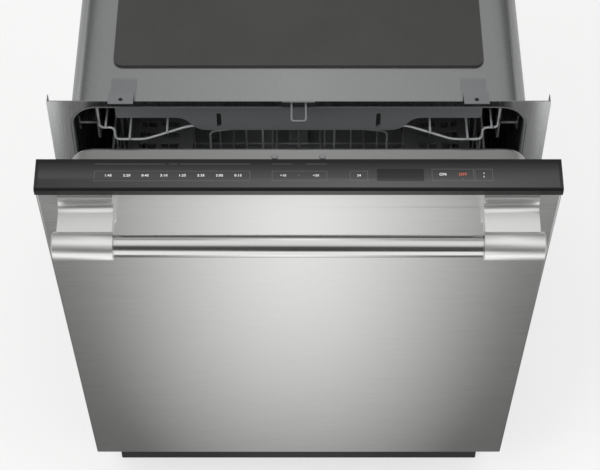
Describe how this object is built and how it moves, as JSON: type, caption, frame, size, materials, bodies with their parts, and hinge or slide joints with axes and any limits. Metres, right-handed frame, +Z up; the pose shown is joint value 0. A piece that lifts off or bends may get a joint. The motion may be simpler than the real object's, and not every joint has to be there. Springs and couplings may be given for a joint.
{
  "type": "dishwasher",
  "caption": "Built-in dishwasher with a top-control door standing ajar, a bar handle on posts, pull-out wire racks, spray arms, sump and pumps.",
  "frame": {"origin": "on the floor, at the middle of the niche's width, in the plane of the cabinet fronts", "axes": "+X to the right seen from the front, +Y back into the niche, +Z up; the front faces -Y"},
  "size_m": [0.606, 0.7681, 0.8615],
  "materials": {
    "brushed_stainless": "horizontally brushed, satin",
    "polished_stainless": "smooth, bright",
    "handle_steel": "polished, slightly soft",
    "console_black": "gloss black",
    "glass_black": "gloss black glass",
    "wire_grey": "nylon coated, satin",
    "rail_steel": "plain",
    "zinc_steel": "zinc plated",
    "kick_black": "satin black",
    "base_plastic": "moulded",
    "grey_plastic": "moulded",
    "white_nylon": "moulded",
    "rubber_black": "matte",
    "bitumen": "pressed mat",
    "felt": "fibre mat",
    "circuit_green": "coated board",
    "pump_grey": "moulded",
    "cable_grey": "braided cable"
  },
  "bodies": {
    "root": {"tub": "polished_stainless", "tub_gasket": "rubber_black", "door_strike": "zinc_steel", "top_brackets": "zinc_steel", "damping_mats": "bitumen", "base_pan": "base_plastic", "levelling_feet": "zinc_steel", "access_panel": "kick_black", "toe_kick": "kick_black", "hinge_brackets": "zinc_steel", "spring_cables": "cable_grey", "door_springs": "zinc_steel", "sump_housing": "base_plastic", "coarse_filter": "polished_stainless", "circulation_pump": "pump_grey", "drain_pump": "pump_grey", "drain_outlet": "grey_plastic", "inlet_valve": "white_nylon", "junction_box": "zinc_steel", "water_manifold": "grey_plastic", "upper_rack_rails": "rail_steel", "third_rack_rails": "rail_steel"},
    "door": {"outer_panel": "brushed_stainless", "door_liner": "brushed_stainless", "door_insulation": "felt", "door_bottom_seal": "rubber_black", "console_housing": "console_black", "console_glass": "glass_black", "control_board": "circuit_green", "latch_housing": "base_plastic", "latch_screws": "zinc_steel", "dispenser_housing": "grey_plastic", "handle_posts": "handle_steel", "handle_bar": "handle_steel", "handle_screws": "zinc_steel", "hinge_arms": "zinc_steel"},
    "latch_pawl": {"latch_pawl": "zinc_steel"},
    "detergent_lid": {"detergent_lid": "grey_plastic"},
    "rinse_cap": {"rinse_cap": "base_plastic"},
    "spring_pulleys": {"spring_pulleys": "white_nylon"},
    "upper_slides": {"upper_slides": "rail_steel"},
    "upper_rack": {"upper_rack": "wire_grey", "upper_feed_tube": "grey_plastic"},
    "middle_spray_arm": {"middle_spray_arm": "grey_plastic"},
    "cup_shelf_left": {"cup_shelf_left": "wire_grey"},
    "cup_shelf_right": {"cup_shelf_right": "wire_grey"},
    "third_slides": {"third_slides": "rail_steel"},
    "third_rack": {"third_rack": "wire_grey", "third_rack_front": "grey_plastic"},
    "lower_rack": {"lower_rack": "wire_grey", "cutlery_basket": "grey_plastic"},
    "lower_front_wheels": {"lower_front_wheels": "grey_plastic"},
    "lower_rear_wheels": {"lower_rear_wheels": "grey_plastic"},
    "tine_row_front": {"tine_row_front": "wire_grey"},
    "tine_row_rear": {"tine_row_rear": "wire_grey"},
    "lower_spray_arm": {"lower_spray_arm": "grey_plastic"},
    "top_spray_arm": {"top_spray_arm": "grey_plastic"},
    "filter_cup": {"filter_cup": "grey_plastic"},
    "float_switch": {"float_switch": "grey_plastic"}
  },
  "joints": [
    {"name": "door_hinge", "type": "hinge", "parent": "root", "child": "door", "pos_m": [0, 0.01, 0.118], "axis": [1, 0, 0], "range_deg": [-7.02, 82.98], "deforming": ["spring_cables", "door_springs"]},
    {"name": "pawl_rise", "type": "hinge", "parent": "door", "child": "latch_pawl", "pos_m": [0, -0.10579, 0.82515], "axis": [1, 0, 0], "range_deg": [0, 20]},
    {"name": "lid_slide", "type": "slide", "parent": "door", "child": "detergent_lid", "axis": [-1, 0, 0], "range_m": [0, 0.074]},
    {"name": "rinse_cap_turn", "type": "hinge", "parent": "door", "child": "rinse_cap", "pos_m": [0.165, -0.00198, 0.56388], "axis": [0, -0.9925, -0.1222], "range_deg": [0, 90]},
    {"name": "pulley_turn", "type": "hinge", "parent": "root", "child": "spring_pulleys", "pos_m": [0, 0.042, 0.046], "axis": [1, 0, 0], "range_deg": [-290.66, 24.59]},
    {"name": "upper_slides_extend", "type": "slide", "parent": "root", "child": "upper_slides", "axis": [0, -1, 0], "range_m": [-0.0184, 0.21743]},
    {"name": "upper_rack_slide", "type": "slide", "parent": "root", "child": "upper_rack", "axis": [0, -1, 0], "range_m": [-0.0368, 0.43484]},
    {"name": "middle_arm_spin", "type": "hinge", "parent": "upper_rack", "child": "middle_spray_arm", "pos_m": [0, 0.26324, 0.491], "axis": [0, 0, 1], "continuous": true},
    {"name": "shelf_left_fold", "type": "hinge", "parent": "upper_rack", "child": "cup_shelf_left", "pos_m": [-0.228, 0.26824, 0.606], "axis": [0, -1, 0], "range_deg": [0, 80]},
    {"name": "shelf_right_fold", "type": "hinge", "parent": "upper_rack", "child": "cup_shelf_right", "pos_m": [0.228, 0.26824, 0.606], "axis": [0, 1, 0], "range_deg": [0, 80]},
    {"name": "third_slides_extend", "type": "slide", "parent": "root", "child": "third_slides", "axis": [0, -1, 0], "range_m": [-0.0184, 0.21743]},
    {"name": "third_rack_slide", "type": "slide", "parent": "root", "child": "third_rack", "axis": [0, -1, 0], "range_m": [-0.0368, 0.43484]},
    {"name": "lower_rack_slide", "type": "slide", "parent": "root", "child": "lower_rack", "axis": [0, -1, 0], "range_m": [-0.01166, 0.13771]},
    {"name": "front_wheels_roll", "type": "hinge", "parent": "lower_rack", "child": "lower_front_wheels", "pos_m": [0, 0.11836, 0.1863], "axis": [1, 0, 0], "range_deg": [-37.08, 438.3]},
    {"name": "rear_wheels_roll", "type": "hinge", "parent": "lower_rack", "child": "lower_rear_wheels", "pos_m": [0, 0.46236, 0.1863], "axis": [1, 0, 0], "range_deg": [-37.08, 438.3]},
    {"name": "front_tines_fold", "type": "hinge", "parent": "lower_rack", "child": "tine_row_front", "pos_m": [0, 0.36036, 0.2083], "axis": [1, 0, 0], "range_deg": [0, 85]},
    {"name": "rear_tines_fold", "type": "hinge", "parent": "lower_rack", "child": "tine_row_rear", "pos_m": [0, 0.42436, 0.2083], "axis": [-1, 0, 0], "range_deg": [0, 85]},
    {"name": "lower_arm_spin", "type": "hinge", "parent": "root", "child": "lower_spray_arm", "pos_m": [0, 0.3, 0.174], "axis": [0, 0, 1], "continuous": true},
    {"name": "top_arm_spin", "type": "hinge", "parent": "root", "child": "top_spray_arm", "pos_m": [0, 0.3, 0.828], "axis": [0, 0, 1], "continuous": true},
    {"name": "filter_turn", "type": "hinge", "parent": "root", "child": "filter_cup", "pos_m": [0, 0.26, 0.12], "axis": [0, 0, 1], "range_deg": [0, 60]},
    {"name": "float_lift", "type": "slide", "parent": "root", "child": "float_switch", "axis": [0, 0, 1], "range_m": [0, 0.01]}
  ],
  "couplings": [
    {"joint": "pulley_turn", "follows": "door_hinge", "ratio": -3.5},
    {"joint": "upper_slides_extend", "follows": "door_hinge", "m_per_rad": 0.15},
    {"joint": "upper_rack_slide", "follows": "door_hinge", "m_per_rad": 0.3},
    {"joint": "third_slides_extend", "follows": "door_hinge", "m_per_rad": 0.15},
    {"joint": "third_rack_slide", "follows": "door_hinge", "m_per_rad": 0.3},
    {"joint": "lower_rack_slide", "follows": "door_hinge", "m_per_rad": 0.095},
    {"joint": "front_wheels_roll", "follows": "door_hinge", "ratio": 5.2778},
    {"joint": "rear_wheels_roll", "follows": "door_hinge", "ratio": 5.2778}
  ]
}
